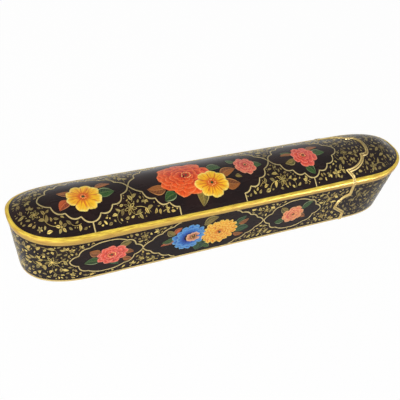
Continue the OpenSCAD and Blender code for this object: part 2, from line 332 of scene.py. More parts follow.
def leafGroup():
    tree, given, out = makeGroup("leafPaint", coloursIn("Blade", "Shade", "Vein", "Rim"), coloursIn("Color"))
    along, side, across, tone, own = brushMark(tree)
    cloud = strokeNoise(tree, along, side, own, 3.0, 5.0)
    halves = spread(tree, sums(tree, "ADD", sums(tree, "MULTIPLY", side, 0.55), cloud), 0.6, 0.95)
    blade = blend(tree, halves, given["Blade"], given["Shade"])
    ribs = sums(tree, "SINE", sums(tree, "MULTIPLY_ADD", along, 42.0, sums(tree, "MULTIPLY", across, -9.0)))
    inward = spread(tree, across, 0.5, 0.85, 1, 0)
    ribMask = sums(tree, "MULTIPLY", spread(tree, ribs, 0.75, 1.0, 0, 0.45), inward)
    spine = spread(tree, across, 0.03, 0.1, 0.8, 0)
    veined = blend(tree, sums(tree, "MAXIMUM", ribMask, spine), blade, given["Vein"])
    lit = spread(tree, side, 0.15, 0.75, 0.25, 0.9)
    edge = sums(tree, "MULTIPLY", spread(tree, across, 0.76, 0.93), lit)
    tree.links.new(blend(tree, edge, veined, given["Rim"]), out["Color"])
    return tree


lacquerGround = lacquerGroup()
gilding = gildingGroup()
petalPaint = petalGroup()
leafPaint = leafGroup()


def lacquerFinish(name, dark, warm, speck, **settings):
    made, tree, shader = makeMaterial(name, **settings)
    parts = fillGroup(tree, lacquerGround, {"Dark": dark, "Warm": warm, "Speck": speck})
    dressed(tree, shader, parts["Color"], parts["Roughness"], parts["Height"], 0.05, 0.0002)
    return made


def goldFinish(name, bright, deep, rub, run, middle=None, **settings):
    # run stretches the rubbed streaks: along the mark where it is a brush run, else over the object
    # middle: a colour for marks with a tone, from where to where across it fades, its share,
    # and how dull a mark with a low number of its own gets: random tone, with painted shade towards the ridge
    made, tree, shader = makeMaterial(name, **settings)
    along, side, across, tone, own = brushMark(tree)
    if run:
        vector = add(tree, "ShaderNodeCombineXYZ", {0: sums(tree, "MULTIPLY", along, run[0]),
                                                    1: sums(tree, "MULTIPLY", side, run[1]),
                                                    2: sums(tree, "MULTIPLY", own, 19.0)}).outputs[0]
    else:
        vector = stretched(tree, objectPlace(tree), (300, 300, 300))
    parts = fillGroup(tree, gilding, {"Bright": bright, "Deep": deep, "Rub": rub}, Vector=vector)
    colour = parts["Color"]
    if middle:
        dull = spread(tree, own, 0.0, 1.0, middle["dull"], 1.0)
        colour = blend(tree, 1.0, colour, greyOf(tree, dull), "MULTIPLY")
        reach = spread(tree, across, middle["from"], middle["to"], middle["share"], 0.0)
        colour = blend(tree, sums(tree, "MULTIPLY", tone, reach), colour, srgb(*middle["colour"]))
    dressed(tree, shader, colour, parts["Roughness"], parts["Height"], 0.2, 0.0001)
    return made


def paintFinish(name, group, colours, **others):
    made, tree, shader = makeMaterial(name, **paintGloss)
    parts = fillGroup(tree, group, colours, **others)
    grain = noise(tree, objectPlace(tree), 900, 3)
    dressed(tree, shader, parts["Color"], spread(tree, grain, 0.3, 0.7, 0.26, 0.42), grain, 0.08, 0.0001)
    return made


lacquerGloss = {"Coat Weight": 0.02, "Coat Roughness": 0.12, "Specular IOR Level": 0.13}
paintGloss = {"Coat Weight": 0.12, "Coat Roughness": 0.1, "IOR": 1.48, "Specular IOR Level": 0.22}
blackLacquer = lacquerFinish("blackLacquer", (22, 10, 11), (33, 16, 15), (52, 38, 30), **lacquerGloss)
insideLacquer = lacquerFinish("insideLacquer", (62, 20, 15), (88, 32, 22), (112, 58, 40),
                              **{"Coat Weight": 0.1})
trayLacquer = lacquerFinish("trayLacquer", (96, 27, 18), (128, 42, 26), (150, 76, 48),
                            **{"Coat Weight": 0.3})
giltGloss = {"Metallic": 0.25, "Coat Weight": 0.12, "Coat Roughness": 0.14, "Specular IOR Level": 0.2}
# the rim's wall-side face is mixed three parts in four towards a darker tan: painted shade on the face that
# takes less light
rimGold = goldFinish("rimGold", (240, 214, 82), (190, 148, 50), (150, 106, 44), (0.15, 10.0),
                     {"colour": (190, 148, 76), "from": 2.0, "to": 3.0, "share": 0.75, "dull": 1.0},
                     **giltGloss)
seamGold = goldFinish("seamGold", (226, 204, 132), (196, 162, 92), (136, 104, 60), (0.3, 4.0),
                      {"colour": (136, 104, 60), "from": 0.5, "to": 1.0, "share": 0.0, "dull": 0.5},
                      Metallic=0.25)
lineGold = goldFinish("lineGold", (226, 206, 140), (194, 170, 104), (138, 114, 68), (0.5, 3.0),
                      {"colour": (138, 114, 68), "from": 0.5, "to": 1.0, "share": 0.0, "dull": 0.55},
                      Metallic=0.2)
sprayGold = goldFinish("sprayGold", (252, 226, 124), (220, 186, 92), (144, 120, 66), None,
                       {"colour": (64, 48, 26), "from": 0.08, "to": 0.6, "share": 0.85, "dull": 0.3},
                       Metallic=0.2)

petalColours = {
    "yellow": dict(Heart=(222, 96, 28), Body=(254, 200, 32), Second=(252, 178, 40), Tip=(255, 208, 58),
                   Streak=(214, 64, 22), Rim=(255, 234, 142)),
    "peony": dict(Heart=(168, 28, 16), Body=(240, 78, 20), Second=(206, 50, 36), Tip=(244, 102, 42),
                  Streak=(190, 36, 22), Rim=(250, 146, 86)),
    "rose": dict(Heart=(170, 46, 50), Body=(216, 82, 76), Second=(230, 112, 86), Tip=(232, 122, 98),
                 Streak=(172, 42, 52), Rim=(250, 196, 150)),
    "coral": dict(Heart=(186, 40, 34), Body=(234, 70, 46), Second=(230, 92, 88), Tip=(242, 112, 82),
                  Streak=(186, 36, 38), Rim=(250, 168, 156)),
    "blue": dict(Heart=(26, 52, 140), Body=(62, 130, 210), Second=(46, 104, 192), Tip=(88, 156, 222),
                 Streak=(30, 66, 160), Rim=(130, 178, 200)),
    "amber": dict(Heart=(206, 84, 26), Body=(248, 176, 40), Second=(242, 146, 38), Tip=(255, 204, 76),
                  Streak=(218, 92, 30), Rim=(255, 222, 124)),
    "flesh": dict(Heart=(150, 92, 60), Body=(228, 160, 120), Second=(216, 130, 98), Tip=(238, 186, 146),
                  Streak=(178, 100, 70), Rim=(242, 204, 168)),
    "peach": dict(Heart=(206, 84, 56), Body=(242, 142, 92), Second=(238, 112, 94), Tip=(248, 172, 108),
                  Streak=(208, 78, 70), Rim=(252, 196, 156)),
}
leafColours = {
    "green": dict(Blade=(36, 76, 24), Shade=(20, 46, 14), Vein=(98, 122, 60), Rim=(168, 186, 132)),
    "fern": dict(Blade=(44, 78, 46), Shade=(24, 46, 34), Vein=(76, 108, 66), Rim=(104, 132, 86)),
    "brown": dict(Blade=(152, 88, 36), Shade=(104, 56, 26), Vein=(190, 128, 66), Rim=(204, 144, 80)),
    "russet": dict(Blade=(182, 80, 40), Shade=(122, 48, 30), Vein=(214, 126, 70), Rim=(206, 132, 78)),
    "olive": dict(Blade=(128, 108, 44), Shade=(78, 72, 32), Vein=(178, 156, 84), Rim=(204, 184, 112)),
}
finishes = {}
for key, colours in petalColours.items():
    finishes[key] = paintFinish(key + "Petals", petalPaint, colours, Streaks=0.85)
for key, colours in leafColours.items():
    finishes[key] = paintFinish(key + "Leaves", leafPaint, colours)
finishes["eye"] = paintFinish("eyeGreen", leafPaint, dict(Blade=(36, 84, 30), Shade=(16, 44, 18),
                                                        Vein=(60, 104, 40), Rim=(150, 140, 60)))
finishes["stamen"] = paintFinish("stamenCream", leafPaint, dict(Blade=(252, 206, 120), Shade=(244, 176, 96),
                                                              Vein=(255, 226, 160), Rim=(255, 232, 170)))
print("finishes made:", len(bpy.data.materials))


# meshes
def makeObject(name, points, faces, material):
    mesh = bpy.data.meshes.new(name)
    mesh.from_pydata((np.asarray(points) * mm).tolist(), [], faces)
    mesh.materials.append(material)
    mesh.validate()
    made = bpy.data.objects.new(name, mesh)
    scene.collection.objects.link(made)
    return made


def outward(mesh):
    work = bmesh.new()
    work.from_mesh(mesh)
    bmesh.ops.recalc_face_normals(work, faces=work.faces)
    work.to_mesh(mesh)
    work.free()


def softened(mesh, degrees):
    mesh.polygons.foreach_set("use_smooth", [True] * len(mesh.polygons))
    mesh.set_sharp_from_angle(angle=math.radians(degrees))


def giveBrush(mesh, values):
    layer = mesh.attributes.new("brush", "FLOAT_COLOR", "POINT")
    layer.data.foreach_set("color", np.asarray(values, np.float32).ravel())


def quads(rows, columns, around):
    # faces between the rows of a grid: around is columns where each row closes on itself, else one less
    faces = []
    for i in range(0, (rows - 1) * columns, columns):
        for j in range(around):
            k = (j + 1) % columns
            faces.append([i + j, i + k, i + columns + k, i + columns + j])
    return faces


def prism(name, outline, low, high, axis, material):
    # an outline drawn out along z, or along x or y where axis says so
    n = len(outline)
    points = []
    for level in (low, high):
        for u, v in outline:
            points.append({"z": (u, v, level), "x": (level, u, v), "y": (u, level, v)}[axis])
    faces = [list(range(n)), list(range(n, 2 * n))]
    faces += [[i, (i + 1) % n, n + (i + 1) % n, n + i] for i in range(n)]
    made = makeObject(name, points, faces, material)
    outward(made.data)
    return made


def combine(target, other, operation):
    cutter = target.modifiers.new("cut", "BOOLEAN")
    cutter.object = other
    cutter.operation = operation
    cutter.solver = "EXACT"
    cutter.material_mode = "TRANSFER"
    bpy.context.view_layer.update()
    result = bpy.data.meshes.new_from_object(target.evaluated_get(bpy.context.evaluated_depsgraph_get()))
    target.modifiers.clear()
    target.data = result
    bpy.data.objects.remove(other)


def ringPairs(endSteps, sideSteps):
    # vertices of a ring that face each other across the box, from the head's tip to the other
    half = endSteps // 2
    right = [(half - i, half + i) for i in range(half + 1)]
    back = endSteps + 1
    left = back + sideSteps - 1
    front = left + endSteps + 1
    middle = [(front + sideSteps - 2 - i, back + i) for i in range(sideSteps - 1)]
    return right + middle + [(left + endSteps - i, left + i) for i in range(half + 1)]


shell = {"endSteps": 56, "sideSteps": 40, "baseRound": 0.5, "crownSteps": 24, "ridge": 0.985,
         "wallLevels": (0.5, 5, 10, 15, 20, 25, 28.2, 31), "nearTop": 0.25, "nearWall": 0.03, "nearTurn": 0.8}


def wholeForm(name):
    rings = [(wallSizes(0, -shell["baseRound"]), wallRaised, 0.0)]
    rings += [(wallSizes(z), wallRaised, z) for z in shell["wallLevels"]]
    for k in np.linspace(0, shell["ridge"], shell["crownSteps"] + 1)[1:]:
        rings.append((crownSizes(k), crownRaised, k))
    points = []
    for sizes, raised, level in rings:
        plan = planRing(sizes, shell["endSteps"], shell["sideSteps"])
        points.append(np.column_stack([plan, raised(plan[:, 0], np.full(len(plan), level))]))
    n = len(points[0])
    faces = quads(len(rings), n, n)
    pairs = ringPairs(shell["endSteps"], shell["sideSteps"])
    for first in (0, (len(rings) - 1) * n):
        for (a, b), (c, d) in zip(pairs, pairs[1:]):
            faces.append([first + i for i in dict.fromkeys((a, b, d, c))])
    made = makeObject(name, np.concatenate(points), faces, blackLacquer)
    outward(made.data)
    return made


def planValue(p):
    a, b, d = wallSizes(wallLowered(p[:, 0], p[:, 2]))
    u = np.maximum(0, (np.abs(p[:, 0]) - (a - d)) / d)
    return u ** form["endFull"] + (np.abs(p[:, 1]) / b) ** form["endFull"]


def wallNormal(p):
    step = 0.02
    return unit(np.stack([planValue(p + step * e) - planValue(p - step * e) for e in np.eye(3)], 1))


def polished(mesh):
    # the outer faces take the true normals of the form, so cuts leave no dents in the gloss
    points = np.array([v.co for v in mesh.vertices]) / mm
    flat = points[:, :2]
    tiny = 1e-6  # keeps the ridge's own line off zero
    onWall = wallNormal(points)
    onTop = topChart(np.where(np.abs(flat) < tiny, tiny, flat))[1]
    mesh.polygons.foreach_set("use_smooth", [True] * len(mesh.polygons))
    loops = [None] * len(mesh.loops)
    for poly in mesh.polygons:
        ids = list(poly.vertices)
        centre = points[ids].mean(0)
        crowned = centre[2] > rimZ + form["endRise"] * endShare(centre[0])
        normals = (onTop if crowned else onWall)[ids]
        if crowned:
            near = abs(centre[2] - topHeight(centre[:1], centre[1:2])[0]) < shell["nearTop"]
        else:
            near = abs(planValue(centre[None])[0] - 1) < shell["nearWall"]
        lies = near and np.dot(normals.mean(0), np.array(poly.normal)) > shell["nearTurn"]
        for loop, normal in zip(poly.loop_indices, normals):
            loops[loop] = tuple(normal) if lies else tuple(poly.normal)
    mesh.normals_split_custom_set(loops)


# the scalloped joint between the sleeve and the drawer's head
joint = {"x": 79.0, "tongue": 18.5, "tongueHalf": 0.37 * halfW, "step": 3.4, "cuspIn": 2.8,
         "cuspHalf": 0.72 * halfW, "rimLand": 2.6, "lobe": 8.4, "lobeZ": 11.8, "lobeH": 9.5, "lobeFoot": 5.8,
         "gap": 0.4, "edge": 0.9, "splitZ": 29.75, "lap": 0.625, "arcSteps": 18, "blunt": -0.4}
far = 300.0  # well past the box


def topJoint(reach):
    turn = np.linspace(0, np.pi / 2, joint["arcSteps"])
    tip = np.stack([joint["x"] + joint["tongue"] - joint["step"] * (1 - np.cos(turn)),
                    joint["tongueHalf"] * np.sin(turn)], 1)
    neck = joint["tongue"] - 2 * joint["step"] + joint["cuspIn"]
    bay = np.stack([joint["x"] - joint["cuspIn"] + neck * np.cos(turn),
                    joint["tongueHalf"] + (joint["cuspHalf"] - joint["tongueHalf"]) * np.sin(turn)], 1)
    ends = np.array([[joint["x"], halfW - joint["rimLand"]], [joint["x"], reach]])
    half = np.concatenate([tip, bay, ends])
    return np.concatenate([half[:0:-1] * [1, -1], half])


def sideJoint(low, high):
    turn = np.linspace(np.pi / 2, 0, joint["arcSteps"])
    x = joint["x"]
    arc = np.stack([x - joint["lobe"] * np.sin(turn), joint["lobeZ"] + joint["lobeH"] * np.cos(turn)], 1)
    return np.concatenate([[[x, low], [x, joint["lobeZ"] - joint["lobeFoot"]]], arc, [[x, high]]])


def moved(line, w):
    # a line set off sideways, towards the head where w is positive; its points are blunt on the other side
    run = unit(np.diff(line, axis=0))
    side = np.stack([run[:, 1], -run[:, 0]], 1)
    before, after = np.concatenate([side[:1], side]), np.concatenate([side, side[-1:]])
    turn = np.maximum((before * after).sum(1), joint["blunt"] if w < 0 else -1)
    return line + w * (before + after) / (1 + turn)[:, None]


def headZone(w):
    top = np.concatenate([moved(topJoint(far), w), [[far, far], [far, -far]]])
    high = joint["splitZ"] + joint["lap"]
    side = np.concatenate([moved(sideJoint(-far, high), w), [[far, high], [far, -far]]])
    above = prism("zoneTop", top, joint["splitZ"], far, "z", insideLacquer)
    return above, prism("zoneSide", side, -far, far, "y", insideLacquer)


tray = {"round": -95.45, "half": 18.7, "gap": 0.35, "floor": 2.95, "height": 22.0, "outer": 98.0,
        "glue": 0.1, "bowSteps": 41}
trayRoof = tray["floor"] + tray["height"] + tray["gap"]
arch = {"half": 18.45, "z": 29.0, "rise": 9.4, "inner": -90.0, "low": 5.0, "steps": 28}


def trayOutline(half, outer):
    turn = np.linspace(np.pi / 2, 3 * np.pi / 2, tray["bowSteps"])
    bow = np.stack([tray["round"] + half * np.cos(turn), half * np.sin(turn)], 1)
    return np.concatenate([bow, [[outer, -half], [outer, half]]])


def archSection():
    radius = (arch["half"] ** 2 + arch["rise"] ** 2) / (2 * arch["rise"])
    swing = math.asin(arch["half"] / radius)
    turn = np.linspace(swing, -swing, arch["steps"])
    bow = np.stack([radius * np.sin(turn), arch["z"] + arch["rise"] - radius * (1 - np.cos(turn))], 1)
    return np.concatenate([[[-arch["half"], arch["low"]], [arch["half"], arch["low"]]], bow])


def hollow(made, outline, low, high, axis):
    combine(made, prism("hollow", outline, low, high, axis, insideLacquer), "DIFFERENCE")


def buildSleeve():
    made = wholeForm("sleeve")
    hollow(made, trayOutline(tray["half"] + tray["gap"], far), tray["floor"] - tray["gap"], trayRoof, "z")
    hollow(made, archSection(), arch["inner"], far, "x")
    for zone in headZone(0):
        combine(made, zone, "DIFFERENCE")
    polished(made.data)
    return made


def buildHead():
    made = wholeForm("drawerHead")
    above, side = headZone(joint["gap"])
    combine(above, side, "UNION")
    combine(made, above, "INTERSECT")
    pocket = trayOutline(tray["half"] + tray["glue"], tray["outer"] + tray["glue"])
    hollow(made, pocket, tray["floor"] - tray["glue"], trayRoof, "z")
    hollow(made, archSection(), arch["inner"], tray["outer"], "x")
    polished(made.data)
    return made


sleeve = buildSleeve()
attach(sleeve, "case")
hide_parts("case_shell")
drawerHead = buildHead()
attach(drawerHead, "drawer")
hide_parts("drawer_head")
print("shells made:", len(sleeve.data.polygons), len(drawerHead.data.polygons))


# gilt mouldings
# painted shade on the crown's gold: how far from the ridge it begins, and how dull it gets at most
wornAndShaded = {"from": 17.0, "least": 0.1}


def ridgeShadeShare(chart, points):
    # the gold on the crown is painted duller towards the ridge: painted shade, where the crown turns from the
    # light
    if chart != "top":
        return 1.0
    return float(np.clip(np.abs(points.reshape(-1, 2)[:, 1]).mean() / wornAndShaded["from"], wornAndShaded["least"], 1.0))


def sweep(name, rows, material, tones, own, degrees=40):
    # rows of closed profiles joined into one capped strip, with its run, width, tones and a number of its
    # own; on the rims the tones mark the face painted in shade, on the seams the number is painted shade
    # towards the ridge
    n, m = rows.shape[:2]
    faces = quads(n, m, m) + [list(range(m)), list(range((n - 1) * m, n * m))]
    made = makeObject(name, rows.reshape(-1, 3), faces, material)
    brush = np.zeros((n, m, 4))
    brush[:, :, 0] = runs(rows.mean(1))[:, None]
    brush[:, :, 1] = np.linspace(0, 1, m)
    brush[:, :, 2] = tones
    brush[:, :, 3] = np.reshape(own, (-1, 1))
    giveBrush(made.data, brush)
    outward(made.data)
    softened(made.data, degrees)
    return made


rimBand = {"low": form["rimLow"], "up": 1.7 / halfW, "sink": -0.15, "frontSteps": 70, "endSteps": 80,
           "thinUp": 0.22, "thinLow": 0.3, "thinFrom": 84, "thinOver": 50, "thinDeep": 2.5, "aboveBase": 5}
rimProfile = [("wall", rimBand["low"], rimBand["sink"]), ("wall", rimBand["low"], 0.32),
              ("wall", rimBand["low"] + 0.28, 0.5), ("wall", 29.7, 0.46), ("wall", 30.55, 0.5),
              ("wall", 30.95, 0.44), ("crown", 0.01, 0.44), ("crown", 0.026, 0.42),
              ("crown", 0.05, 0.3), ("crown", 0.068, 0.24),
              ("crown", rimBand["up"], 0.1), ("crown", rimBand["up"], rimBand["sink"])]
baseProfile = [("wall", 0.15, -0.12), ("wall", 0.2, 0.05), ("wall", 0.5, 0.09), ("wall", 1.05, 0.09),
               ("wall", 1.35, 0.04), ("wall", 1.4, -0.12)]


def thinned(kind, level, proud, x):
    # where a line of the moulding runs along the straight side: its y and z
    share = np.clip((rimBand["thinFrom"] - np.abs(x)) / rimBand["thinOver"], 0, 1)
    share = share * share * (3 - 2 * share)
    if kind == "wall":
        nearRim = np.clip((rimZ - level) / rimBand["thinDeep"], 0, 1) * (level > rimBand["aboveBase"])
        z = level + rimBand["thinLow"] * share * nearRim
        return -wallSizes(z, proud)[1], z
    k = level * (1 - rimBand["thinUp"] * share)
    return -halfW * (1 - k), crownHeight(k) + proud


def bandRows(profile, cut, side):
    columns = []
    angles = np.linspace(-np.pi / 2, np.pi / 2, rimBand["endSteps"] + 1)
    for kind, level, proud in profile:
        sizes = wallSizes(level, proud) if kind == "wall" else crownSizes(level)
        end = endPoints(sizes, angles, side)
        levels = np.full(len(end), level)
        z = wallRaised(end[:, 0], levels) if kind == "wall" else crownRaised(end[:, 0], levels) + proud
        end = np.column_stack([end, z])
        x = np.linspace(cut, end[0, 0], rimBand["frontSteps"])[:-1]
        front = np.column_stack([x, *thinned(kind, level, proud, x)])
        columns.append(np.concatenate([front, end, front[::-1] * toBack]))
    return np.stack(columns, 1)


caseCut = joint["x"] - joint["edge"]
headCut = joint["x"] + joint["gap"] + joint["edge"]
bands = [("rimMoulding", rimProfile, caseCut, -1, "case", "case_rim_moulding", rimGold),
         ("headRimMoulding", rimProfile, headCut, 1, "drawer", "head_rim_moulding", rimGold),
         ("baseLine", baseProfile, caseCut + 0.2, -1, "case", None, seamGold),
         ("headBaseLine", baseProfile, headCut - 0.2, 1, "drawer", None, seamGold)]
for name, profile, cut, side, body, node, finish in bands:
    # the wall-side points of a profile are painted in shade where the finish has a shade colour
    shadedFace = [float(kind == "wall") for kind, _, _ in profile]
    band = sweep(name, bandRows(profile, cut, side), finish, shadedFace, 1.0)
    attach(band, body)
    if node:
        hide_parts(node)

edging = {"foot": 0.05, "underRim": 0.5, "sideStep": 1.2, "topStep": 1.0, "ground": 0.02,
          "corner": (0, -0.62, 0.5)}
seamProfile = [(0.0, -0.15), (0.0, 0.42), (0.12, 0.54), (0.4, 0.6), (0.7, 0.52), (0.92, 0.32), (1.0, 0.1),
               (1.0, -0.15)]


def denser(line, step):
    parts = [line[:1]]
    for p, q in zip(line, line[1:]):
        count = max(1, int(np.ceil(np.linalg.norm(q - p) / step)))
        parts.append(p + np.linspace(0, 1, count + 1)[1:, None] * (q - p))
    return np.concatenate(parts)


def seamRows(first, width):
    side = denser(sideJoint(edging["foot"], rimZ - edging["underRim"]), edging["sideStep"])
    top = denser(topJoint(halfW - edging["underRim"]), edging["topStep"])
    columns = []
    for share, height in seamProfile:
        w = first + share * width
        at = moved(side, w)
        place, normal = wallChart(at)
        up = place + normal * height
        up[:, 2] = np.maximum(up[:, 2], edging["ground"])
        corner = np.array([[joint["x"] + w, -halfW, rimZ]]) + np.array([edging["corner"]]) * height
        over, lift = topChart(moved(top, w))
        columns.append(np.concatenate([up, corner, over + lift * height, corner * toBack, up[::-1] * toBack]))
    return np.stack(columns, 1)


seams = [("mouthSeam", 0.0, -joint["edge"], "case", "mouth_edging"),
         ("headSeam", joint["gap"], joint["edge"], "drawer", "head_edging")]
for name, first, width, body, node in seams:
    rows = seamRows(first, width)
    # the seams' gold is painted duller towards the crown's ridge: painted shade
    wearAndShade = [ridgeShadeShare("top", row[:, :2]) for row in rows]
    seam = sweep(name, rows, seamGold, 0.0, wearAndShade, 50)
    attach(seam, body)
    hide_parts(node)
print("gilt mouldings made")


# painted and gilded marks: thin closed pads, kept flat in their charts until all of them are laid
charts = {"top": topChart, "front": wallChart, "back": backWall}
faceSides = {"top": ("top",), "wall": ("front", "back")}
padSink = -0.06
paints = {}
hand = random.Random(7)


def layPad(key, chart, flat, border, tops, lift, brush):
    for side in faceSides[chart]:
        empty = {"flat": [], "lift": [], "brush": [], "faces": [], "count": 0}
        part = paints.setdefault(key, {}).setdefault(side, empty)
        first, n, m = part["count"], len(flat), len(border)
        part["flat"] += [flat, flat[border]]
        part["lift"] += [np.full(n, lift), np.full(m, padSink)]
        part["brush"] += [brush, brush[border]]
        part["faces"] += [[first + i for i in face] for face in tops]
        for i in range(m):
            j = (i + 1) % m
            part["faces"].append([first + border[i], first + border[j], first + n + j, first + n + i])
        part["faces"].append([first + n + i for i in range(m)])
        part["count"] += n + m


def layGrid(key, chart, grid, lift, tone, own, run=1.0):
    n, m = grid.shape[:2]
    u, v = np.meshgrid(np.linspace(0, run, n), np.linspace(0, 1, m), indexing="ij")
    brush = np.stack([u, v, np.full((n, m), tone), np.full((n, m), own)], 2).reshape(-1, 4)
    border = list(range(m)) + [i * m + m - 1 for i in range(1, n)]
    border += [(n - 1) * m + j for j in range(m - 2, -1, -1)] + [i * m for i in range(n - 2, 0, -1)]
    layPad(key, chart, grid.reshape(-1, 2), border, quads(n, m, m - 1), lift, brush)


def layDisc(key, chart, at, size, lift, own, count=10):
    turn = np.linspace(0, 2 * np.pi, count, endpoint=False)
    flat = np.stack([at[0] + size[0] * np.cos(turn), at[1] + size[1] * np.sin(turn)], 1)
    ring = list(range(count))
    layPad(key, chart, flat, ring, [ring], lift, np.tile([0.4, 0.4, 0.0, own], (count, 1)))


def layStroke(key, chart, line, widths, lift, own):
    run = unit(np.gradient(line, axis=0))
    side = np.stack([-run[:, 1], run[:, 0]], 1) * (np.asarray(widths) / 2)[:, None]
    length = np.linalg.norm(np.diff(line, axis=0), axis=1).sum()
    layGrid(key, chart, np.stack([line - side, line + side], 1), lift, 0.0, own, length)


def leafGrid(base, tip, width, bow, steps):
    u = np.linspace(0, 1, steps[0])
    v = np.linspace(-1, 1, steps[1])
    run = np.subtract(tip, base)
    side = np.array([-run[1], run[0]])
    spine = np.array(base) + u[:, None] * run + (bow * 4 * u * (1 - u))[:, None] * side
    half = width * (0.02 + 0.48 * np.abs(np.sin(np.pi * u ** 0.8)) ** 0.85)
    return spine[:, None, :] + (half[:, None] * v[None, :])[:, :, None] * side / np.linalg.norm(run)


def petalGrid(at, size, angle, half, inner, reach, own, steps=(7, 9)):
    u = np.linspace(0, 1, steps[0])[:, None]
    v = np.linspace(-1, 1, steps[1])[None, :]
    frill = 0.018 * np.cos(2 * np.pi * v + own * 6) + 0.012 * np.sin(9 * v + own * 40)
    edge = reach * (0.99 - 0.28 * np.abs(v) ** 2.4 + frill)
    radius = inner + u * (edge - inner)
    turn = angle + half * v * (0.82 + 0.18 * u)
    return np.stack([at[0] + size[0] * radius * np.cos(turn), at[1] + size[1] * radius * np.sin(turn)], 2)


# painted flowers: layers from the outermost in, each with petals, first angle, reach, inner end and overlap
flowers = [
    dict(chart="top", finish="yellow", at=(-86.9, -1.8), size=(9.8, 9.2), lean=(150, 0.5), lift=0.13,
         eye=(0.0, 0.0, 0.08), dots=(9, 0.15, 0.03),
         layers=[(8, 67, 1.0, 0.08, 1.3)]),
    dict(chart="top", finish="peony", at=(-29.0, -0.3), size=(16.6, 13.2), lean=(60, 1.0), lift=0.13,
         eye=(0.12, 0.04, 0.05), dots=(14, 0.17, 0.022),
         layers=[(9, 10, 1.0, 0.55, 1.3), (9, 32, 0.87, 0.44, 1.3), (8, 5, 0.71, 0.32, 1.35),
                 (7, 30, 0.53, 0.18, 1.3), (6, 45, 0.35, 0.05, 1.2)]),
    dict(chart="top", finish="yellow", at=(-14.7, -8.1), size=(10.3, 9.0), lean=(200, 0.5), lift=0.28,
         eye=(0.0, 0.0, 0.09), dots=(10, 0.19, 0.03),
         layers=[(7, 77, 1.0, 0.08, 1.26)]),
    dict(chart="top", finish="rose", at=(10.5, -0.2), size=(6.9, 7.3), lean=(250, 0.8), lift=0.13,
         eye=(0.05, 0.05, 0.06), dots=(6, 0.14, 0.04),
         layers=[(8, 12, 1.0, 0.52, 1.25), (7, 30, 0.78, 0.34, 1.22), (6, 0, 0.5, 0.1, 1.3)]),
    dict(chart="top", finish="coral", at=(51.1, -1.2), size=(8.8, 8.8), lean=(-10, 1.0), lift=0.13,
         eye=(0.0, 0.06, 0.06), dots=(10, 0.16, 0.035),
         layers=[(8, 20, 1.0, 0.45, 1.25), (7, 48, 0.74, 0.28, 1.22), (6, 10, 0.45, 0.08, 1.2)]),
    dict(chart="wall", finish="coral", at=(-76.6, 15.2), size=(9.2, 6.9), lean=(0, 0.7), lift=0.13,
         eye=(0.0, 0.0, 0.07), dots=(11, 0.24, 0.04),
         layers=[(9, 10, 1.0, 0.45, 1.25), (8, 32, 0.76, 0.28, 1.22), (6, 0, 0.46, 0.08, 1.2)]),
    dict(chart="wall", finish="blue", at=(-31.0, 15.2), size=(10.9, 9.5), lean=(240, 0.8), lift=0.12,
         eye=(0.2, -0.03, 0.2), dots=(0, 0.0, 0.0),
         layers=[(14, 15, 1.0, 0.5, 1.3), (12, 34, 0.8, 0.3, 1.35)]),
    dict(chart="wall", finish="flesh", at=(-28.7, 14.9), size=(4.8, 3.7), lean=(90, 0.5), lift=0.2,
         eye=(0.05, 0.0, 0.2), dots=(7, 0.34, 0.05),
         layers=[(10, 0, 1.0, 0.3, 1.4)], pupil="brown"),
    dict(chart="wall", finish="amber", at=(-12.2, 14.6), size=(12.1, 9.4), lean=(280, 0.7), lift=0.16,
         eye=(0.05, -0.1, 0.07), dots=(7, 0.12, 0.022),
         layers=[(17, 5, 1.0, 0.62, 1.2), (16, 15, 0.86, 0.48, 1.2), (14, 0, 0.7, 0.34, 1.2),
                 (11, 12, 0.53, 0.2, 1.2), (9, 0, 0.35, 0.06, 1.1)]),
    dict(chart="wall", finish="peach", at=(38.3, 14.8), size=(8.0, 6.5), lean=(170, 0.8), lift=0.13,
         eye=(0.05, 0.0, 0.08), dots=(8, 0.2, 0.04),
         layers=[(8, 15, 1.0, 0.45, 1.25), (7, 40, 0.76, 0.28, 1.22), (6, 5, 0.46, 0.08, 1.2)]),
]


def layFlower(chart, finish, at, size, lean, lift, eye, dots, layers, pupil="eye"):
    key = (finish, "case")
    total = sum(layer[0] for layer in layers)
    rise = min(0.01, 0.1 / total)
    for count, first, reach, inner, overlap in layers:
        for i in list(range(0, count, 2)) + list(range(1, count, 2)):
            own = hand.random()
            angle = math.radians(first + 360 * i / count + hand.uniform(-40, 40) / count)
            half = math.pi / count * overlap * hand.uniform(0.92, 1.1)
            petal = petalGrid(at, size, angle, half, inner, reach * hand.uniform(0.91, 1.03), own)
            tone = 0.5 + 0.5 * lean[1] * math.cos(angle - math.radians(lean[0])) + hand.uniform(-0.15, 0.15)
            layGrid(key, chart, petal, lift, min(1.0, max(0.0, tone)), own)
            lift += rise
    middle = (at[0] + eye[0] * size[0], at[1] + eye[1] * size[1])
    layDisc((pupil, "case"), chart, middle, (eye[2] * size[0], eye[2] * size[1]), lift, 0.3, 14)
    for i in range(dots[0]):
        turn = 2 * math.pi * i / dots[0] + hand.uniform(-0.15, 0.15)
        reach = dots[1] * hand.uniform(0.85, 1.15)
        spot = (middle[0] + reach * size[0] * math.cos(turn), middle[1] + reach * size[1] * math.sin(turn))
        dot = dots[2] * max(size) * hand.uniform(0.8, 1.2)
        layDisc(("stamen", "case"), chart, spot, (dot, dot), lift + 0.01, hand.random(), 8)


